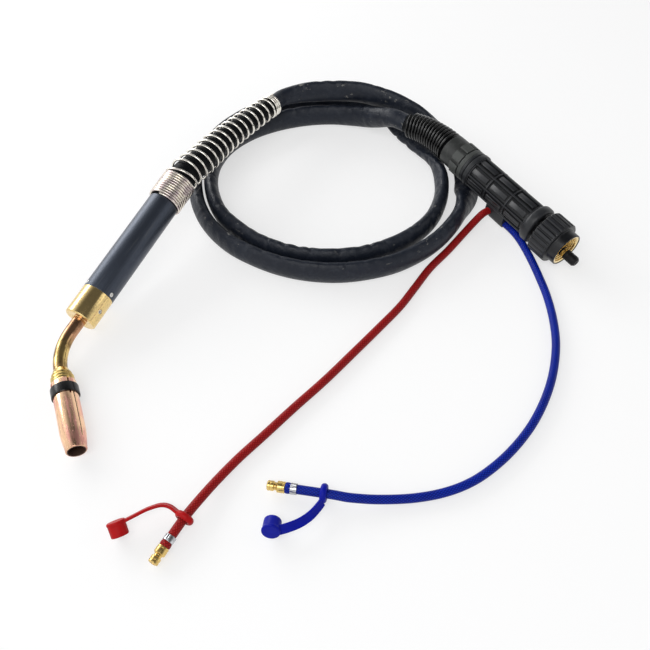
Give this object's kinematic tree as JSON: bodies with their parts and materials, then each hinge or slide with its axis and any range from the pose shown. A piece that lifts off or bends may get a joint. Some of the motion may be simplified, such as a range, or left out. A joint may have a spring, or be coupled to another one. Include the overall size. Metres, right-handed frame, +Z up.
{
  "type": "mig welding torch",
  "caption": "Water-cooled MIG welding torch: straight tube handle, bent neck with copper gas nozzle, oval sheath in two loops, ribbed central plug with union nut and two water hoses.",
  "frame": {"origin": "on the floor, under the middle of the box round the torch, plug and springs (the hoses, their couplings and caps not counted)", "axes": "+Z up; +X from the torch end to the plug end; +Y away from the water-hose ends, towards the back of the loops"},
  "size_m": [0.5648, 0.6466, 0.0794],
  "materials": {
    "copper": "satin",
    "tip_copper": "satin",
    "brass": "satin",
    "neck_brass": "satin",
    "black_band": "matte",
    "diffuser_white": "matte",
    "insulator_brown": "matte",
    "liner_steel": "satin",
    "screw_steel": "satin",
    "grub_steel": "satin",
    "tube_dark": "satin",
    "bush_black": "matte",
    "boot_rubber": "satin",
    "spring_nickel": "bright",
    "sheath": "matte",
    "spring_black": "gloss",
    "housing_black": "satin",
    "nut_black": "satin",
    "carrier_black": "matte",
    "seal_rubber": "satin",
    "gold_pin": "bright",
    "cap_black": "satin",
    "hose_red": "satin",
    "hose_blue": "satin",
    "clamp_steel": "bright",
    "cap_red": "satin",
    "cap_blue": "satin"
  },
  "bodies": {
    "torch": {"contact_tip": "tip_copper", "tip_holder": "brass", "gas_diffuser": "diffuser_white", "neck_nose": "brass", "nozzle_insulator": "insulator_brown", "neck_tube": "neck_brass", "wire_liner": "liner_steel", "front_collar": "brass", "collar_grub_screws": "grub_steel", "handle_tube": "tube_dark", "tube_screws": "screw_steel", "neck_block": "brass", "tube_bush": "bush_black", "torch_boot": "boot_rubber", "kink_spring": "spring_nickel", "main_hose": "sheath", "connector_boot": "boot_rubber", "bend_spring": "spring_black", "gland_nut": "housing_black", "lock_ring": "housing_black", "housing_upper": "housing_black", "housing_lower": "housing_black", "housing_screws": "screw_steel", "flange_ring": "housing_black", "current_block": "brass", "contact_carrier": "carrier_black", "plug_tube": "brass", "gas_seal": "seal_rubber", "red_hose": "hose_red", "red_clamp": "clamp_steel", "red_coupling": "brass", "blue_hose": "hose_blue", "blue_clamp": "clamp_steel", "blue_coupling": "brass"},
    "nozzle": {"gas_nozzle": "copper", "nozzle_band": "black_band"},
    "plug_tube_cap": {"plug_cap": "cap_black"},
    "nut": {"union_nut": "nut_black", "nut_insert": "brass"},
    "pin_a": {"signal_pin_a": "gold_pin"},
    "pin_b": {"signal_pin_b": "gold_pin"},
    "red_cap": {"red_dust_cap": "cap_red"},
    "blue_cap": {"blue_dust_cap": "cap_blue"}
  },
  "joints": [
    {"name": "nozzle_pull", "type": "slide", "parent": "torch", "child": "nozzle", "axis": [0.3411, -0.9399, -0.0141], "range_m": [0, 0.07]},
    {"name": "cap_pull", "type": "slide", "parent": "torch", "child": "plug_tube_cap", "axis": [0.5995, -0.7956, -0.0872], "range_m": [0, 0.03]},
    {"name": "nut_turn", "type": "hinge", "parent": "torch", "child": "nut", "pos_m": [0.266, 0.0015, 0.0251], "axis": [0.5995, -0.7956, -0.0872], "continuous": true},
    {"name": "pin_a_press", "type": "slide", "parent": "torch", "child": "pin_a", "axis": [-0.5995, 0.7956, 0.0872], "range_m": [0, 0.003], "stiffness_N_per_m": 400, "springref_m": -0.002},
    {"name": "pin_b_press", "type": "slide", "parent": "torch", "child": "pin_b", "axis": [-0.5995, 0.7956, 0.0872], "range_m": [0, 0.003], "stiffness_N_per_m": 400, "springref_m": -0.002},
    {"name": "red_cap_swing", "type": "hinge", "parent": "torch", "child": "red_cap", "pos_m": [-0.13092, -0.31186, 0.00991], "axis": [0.5044, 0.8604, 0.0725], "range_deg": [0, 110]},
    {"name": "blue_cap_swing", "type": "hinge", "parent": "torch", "child": "blue_cap", "pos_m": [-0.0061, -0.2879, 0.00975], "axis": [-0.9833, 0.1777, -0.0403], "range_deg": [0, 110]}
  ]
}
